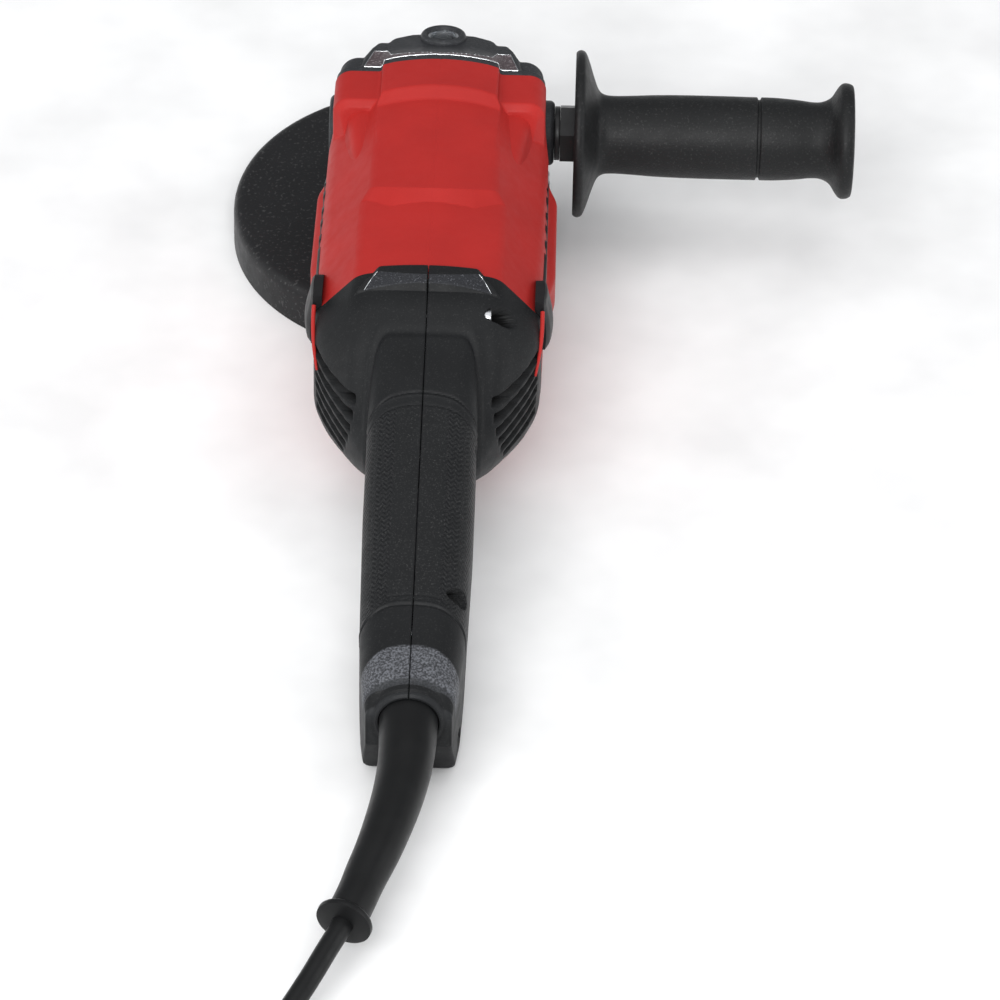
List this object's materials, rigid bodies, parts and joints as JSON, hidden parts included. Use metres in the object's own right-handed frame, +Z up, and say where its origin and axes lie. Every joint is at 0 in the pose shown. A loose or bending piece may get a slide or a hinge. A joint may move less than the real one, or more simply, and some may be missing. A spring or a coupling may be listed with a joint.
{
  "type": "angle grinder",
  "caption": "Corded two-handed angle grinder with a turning guard, side handle, rear trigger handle and bevel-geared spindle; no disc fitted.",
  "frame": {"origin": "on the spindle axis, at the seating face of the grinding disc", "axes": "+Z up along the spindle, away from the disc; +Y forward, from the rear handle to the gear head; +X towards the side handle"},
  "size_m": [0.2886, 0.8675, 0.121],
  "materials": {
    "red_housing": "fine-grained, matte",
    "black_plastic": "fine-grained glass-filled nylon",
    "grey_plastic": "fine-grained, matte",
    "cord_rubber": "smooth rubber sheath",
    "gear_casting": "charcoal-coated die casting",
    "guard_steel": "black satin coating",
    "zinc_steel": "zinc plated",
    "gear_steel": "hardened and ground",
    "laminations": "stacked electrical sheet",
    "copper": "enamelled copper",
    "brass_parts": "plain brass",
    "carbon": "pressed carbon",
    "fan_plastic": "natural glass-filled nylon",
    "plunger_plastic": "natural acetal",
    "slider_red": "matte"
  },
  "bodies": {
    "housing": {"motor_housing": "red_housing", "side_panel_left": "black_plastic", "side_panel_right": "black_plastic", "gear_housing": "gear_casting", "bearing_cover": "gear_casting", "gear_housing_screws": "zinc_steel", "bearing_cover_screws": "zinc_steel", "rear_shell_left": "black_plastic", "rear_shell_right": "black_plastic", "shell_screws": "zinc_steel", "front_armature_bearing": "gear_steel", "rear_armature_bearing": "gear_steel", "rear_bearing_sleeve": "cord_rubber", "air_baffle": "black_plastic", "stator_core": "laminations", "stator_coils": "copper", "brush_holders": "brass_parts", "carbon_brushes": "carbon", "brush_springs": "zinc_steel", "spindle_bearing": "gear_steel", "spindle_needle_bearing": "gear_steel", "dust_ring": "cord_rubber", "lock_spring": "zinc_steel", "trigger_pin": "zinc_steel", "trigger_spring": "zinc_steel", "switch_module": "grey_plastic", "soft_start_module": "grey_plastic", "cable_clamp": "black_plastic", "cable_clamp_screws": "zinc_steel", "cable_sleeve": "cord_rubber", "power_cord": "cord_rubber", "cord_coil": "cord_rubber", "cord_tail": "cord_rubber", "plug_body": "cord_rubber", "plug_pins": "brass_parts"},
    "armature": {"armature_shaft": "gear_steel", "armature_core": "laminations", "armature_windings": "copper", "commutator": "copper", "cooling_fan": "fan_plastic", "pinion": "gear_steel", "pinion_nut": "zinc_steel"},
    "spindle_drive": {"spindle": "gear_steel", "crown_wheel": "gear_steel", "wheel_circlip": "zinc_steel", "disc_flange": "zinc_steel"},
    "guard": {"guard_hood": "guard_steel", "guard_collar": "guard_steel", "guard_clamp_band": "zinc_steel", "guard_clamp_bolt": "zinc_steel"},
    "clamp_lever": {"guard_lever": "zinc_steel"},
    "lock": {"lock_button": "black_plastic"},
    "washer": {"handle_washer": "guard_steel"},
    "side_handle": {"side_grip": "black_plastic", "handle_stud": "guard_steel"},
    "trigger_lever": {"trigger": "black_plastic"},
    "lock_off": {"lock_off_slider": "slider_red"},
    "plunger": {"switch_plunger": "plunger_plastic"}
  },
  "joints": [
    {"name": "armature_spin", "type": "hinge", "parent": "housing", "child": "armature", "pos_m": [0, -0.1, 0.064], "axis": [0, 1, 0], "continuous": true},
    {"name": "spindle_spin", "type": "hinge", "parent": "housing", "child": "spindle_drive", "pos_m": [0, 0, 0], "axis": [0, 0, 1], "continuous": true},
    {"name": "guard_turn", "type": "hinge", "parent": "housing", "child": "guard", "pos_m": [0, 0, 0.013], "axis": [0, 0, 1], "range_deg": [-90, 90]},
    {"name": "clamp_lever_swing", "type": "hinge", "parent": "guard", "child": "clamp_lever", "pos_m": [0.046, 0.012, 0.0148], "axis": [0, 0, -1], "range_deg": [0, 25]},
    {"name": "lock_press", "type": "slide", "parent": "housing", "child": "lock", "axis": [0, -1, 0], "range_m": [0, 0.0045], "stiffness_N_per_m": 800, "springref_m": -0.003},
    {"name": "washer_slide", "type": "slide", "parent": "housing", "child": "washer", "axis": [1, 0, 0], "range_m": [0, 0.01202]},
    {"name": "handle_screw", "type": "hinge", "parent": "washer", "child": "side_handle", "pos_m": [0.06, 0, 0.0485], "axis": [1, 0, 0], "range_deg": [0, 2160]},
    {"name": "trigger_swing", "type": "hinge", "parent": "housing", "child": "trigger_lever", "pos_m": [0, -0.26309, 0.03238], "axis": [-1, 0, 0], "range_deg": [0, 7], "stiffness_Nm_per_rad": 1.5, "springref_deg": -8.59},
    {"name": "lock_off_slide", "type": "slide", "parent": "trigger_lever", "child": "lock_off", "axis": [0, -0.9703, -0.2419], "range_m": [0, 0.0035], "stiffness_N_per_m": 300, "springref_m": -0.003},
    {"name": "plunger_slide", "type": "slide", "parent": "housing", "child": "plunger", "axis": [0, -0.2419, 0.9703], "range_m": [0, 0.005], "stiffness_N_per_m": 0.5, "springref_m": 0.0095}
  ],
  "couplings": [
    {"joint": "spindle_spin", "follows": "armature_spin", "ratio": -0.28205},
    {"joint": "washer_slide", "follows": "handle_screw", "m_per_rad": 0.00031831},
    {"joint": "plunger_slide", "follows": "trigger_swing", "m_per_rad": 0.04}
  ]
}
